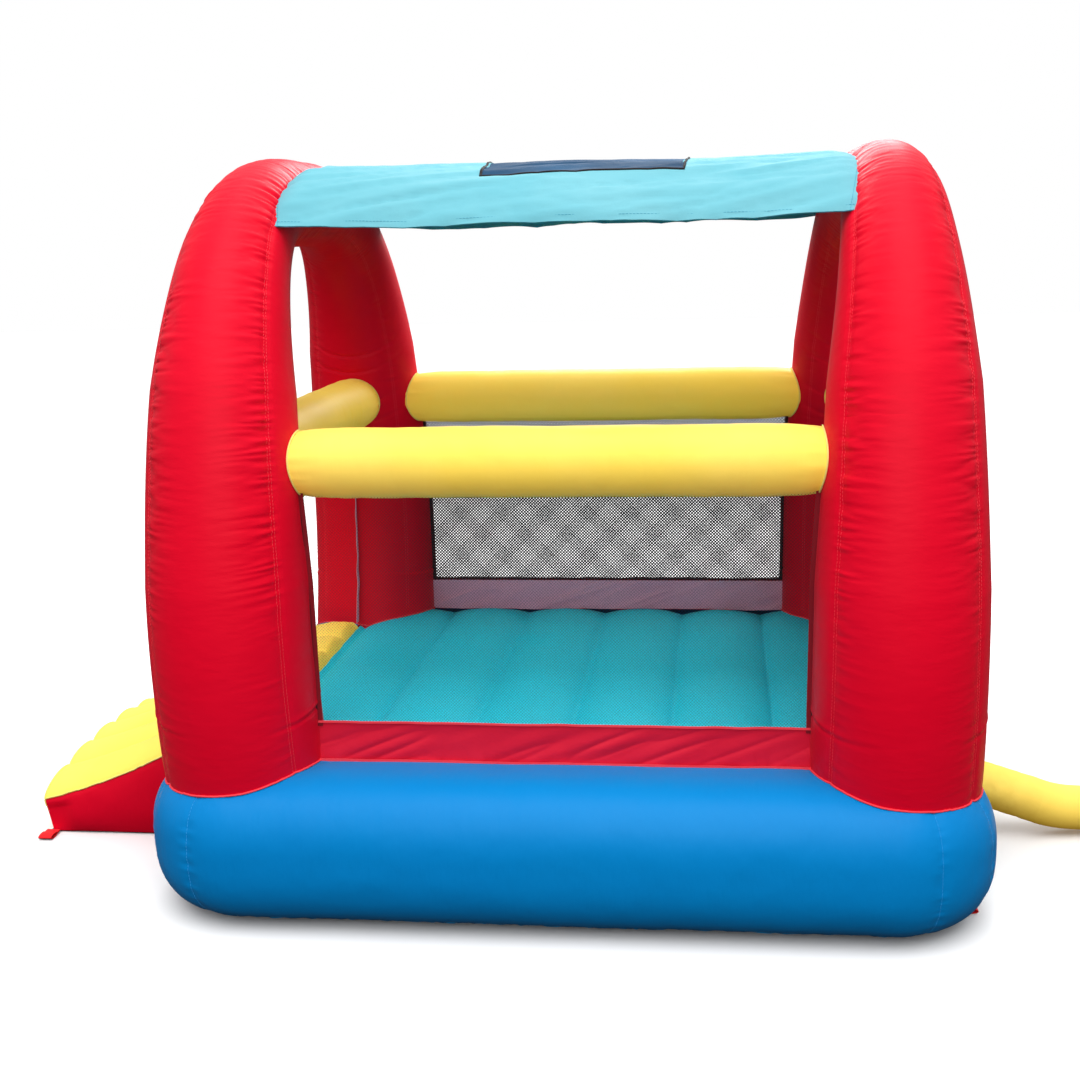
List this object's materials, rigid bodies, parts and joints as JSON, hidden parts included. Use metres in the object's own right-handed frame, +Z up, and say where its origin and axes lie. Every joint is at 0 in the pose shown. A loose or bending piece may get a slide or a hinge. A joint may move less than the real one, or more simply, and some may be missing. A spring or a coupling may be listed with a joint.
{
  "type": "inflatable bounce house",
  "caption": "Inflatable bounce house with a channelled air floor, two tapered arches, padded rails, net walls, a cloth canopy with a net skylight, a short slide and a blower sleeve.",
  "frame": {"origin": "middle of the underside, on the ground", "axes": "+Z up, +X towards the blower sleeve with the slide and doorway at -X, -Y the front"},
  "size_m": [4.13, 2.5358, 2.3977],
  "materials": {
    "red_fabric": "coated woven polyester, satin",
    "red_cloth": "plain woven polyester, matt",
    "red_webbing": "woven webbing",
    "blue_fabric": "coated woven polyester, satin",
    "yellow_fabric": "coated woven polyester, satin",
    "teal_fabric": "coated woven polyester, matt",
    "cyan_cloth": "thin woven polyester, slightly see-through",
    "navy_net": "knitted net",
    "black_net": "knotless knitted net",
    "black_sheet": "coated woven ground cloth",
    "grey_cloth": "uncoated woven polyester",
    "black_webbing": "woven webbing",
    "black_plastic": "moulded acetal"
  },
  "bodies": {
    "house": {"band_front": "red_cloth", "band_rear": "red_cloth", "band_right": "red_cloth", "base_corner_left_front": "blue_fabric", "base_corner_left_rear": "blue_fabric", "base_corner_right_front": "blue_fabric", "base_corner_right_rear": "blue_fabric", "base_side_front": "blue_fabric", "base_side_left": "blue_fabric", "base_side_rear": "blue_fabric", "base_side_right": "blue_fabric", "canopy": "cyan_cloth", "doorway_strip_front": "red_cloth", "doorway_strip_rear": "red_cloth", "floor_top": "teal_fabric", "floor_web_1": "grey_cloth", "floor_web_2": "grey_cloth", "floor_web_3": "grey_cloth", "floor_web_4": "grey_cloth", "floor_web_5": "grey_cloth", "ground_sheet": "black_sheet", "left_arch_crown": "red_fabric", "left_arch_front_leg": "red_fabric", "left_arch_front_shoulder": "red_fabric", "left_arch_rear_leg": "red_fabric", "left_arch_rear_shoulder": "red_fabric", "net_front": "black_net", "net_rear": "black_net", "net_right": "black_net", "rail_front": "yellow_fabric", "rail_left": "yellow_fabric", "rail_rear": "yellow_fabric", "rail_right": "yellow_fabric", "right_arch_crown": "red_fabric", "right_arch_front_leg": "red_fabric", "right_arch_front_shoulder": "red_fabric", "right_arch_rear_leg": "red_fabric", "right_arch_rear_shoulder": "red_fabric", "skylight_net": "navy_net", "sleeve_root": "yellow_fabric", "slide_end": "yellow_fabric", "slide_side_front": "red_fabric", "slide_side_rear": "red_fabric", "slide_top": "yellow_fabric", "slide_underside": "black_sheet", "slide_web_1": "grey_cloth", "slide_web_2": "grey_cloth", "slide_web_3": "grey_cloth", "slide_web_4": "grey_cloth"},
    "sleeve": {"blower_sleeve": "yellow_fabric", "sleeve_strap": "black_webbing", "strap_buckle": "black_plastic"},
    "loop_base_left_front": {"anchor_loop_base_left_front": "red_webbing"},
    "loop_base_left_rear": {"anchor_loop_base_left_rear": "red_webbing"},
    "loop_base_right_front": {"anchor_loop_base_right_front": "red_webbing"},
    "loop_base_right_rear": {"anchor_loop_base_right_rear": "red_webbing"},
    "loop_slide_front": {"anchor_loop_slide_front": "red_webbing"},
    "loop_slide_rear": {"anchor_loop_slide_rear": "red_webbing"}
  },
  "joints": [
    {"name": "sleeve_swing", "type": "hinge", "parent": "house", "child": "sleeve", "pos_m": [1.45, -0.297, 0.176], "axis": [0, 0, 1], "range_deg": [-25, 25]},
    {"name": "base_left_front_lift", "type": "hinge", "parent": "house", "child": "loop_base_left_front", "pos_m": [-1.225, -0.915, 0.009], "axis": [0, 1, 0], "range_deg": [0, 20]},
    {"name": "base_left_rear_lift", "type": "hinge", "parent": "house", "child": "loop_base_left_rear", "pos_m": [-1.225, 0.915, 0.009], "axis": [0, 1, 0], "range_deg": [0, 20]},
    {"name": "base_right_front_lift", "type": "hinge", "parent": "house", "child": "loop_base_right_front", "pos_m": [1.225, -0.915, 0.009], "axis": [0, -1, 0], "range_deg": [0, 20]},
    {"name": "base_right_rear_lift", "type": "hinge", "parent": "house", "child": "loop_base_right_rear", "pos_m": [1.225, 0.915, 0.009], "axis": [0, -1, 0], "range_deg": [0, 20]},
    {"name": "slide_front_lift", "type": "hinge", "parent": "house", "child": "loop_slide_front", "pos_m": [-1.945, -0.4935, 0.009], "axis": [-1, 0, 0], "range_deg": [0, 75]},
    {"name": "slide_rear_lift", "type": "hinge", "parent": "house", "child": "loop_slide_rear", "pos_m": [-1.945, 0.6235, 0.009], "axis": [1, 0, 0], "range_deg": [0, 75]}
  ]
}
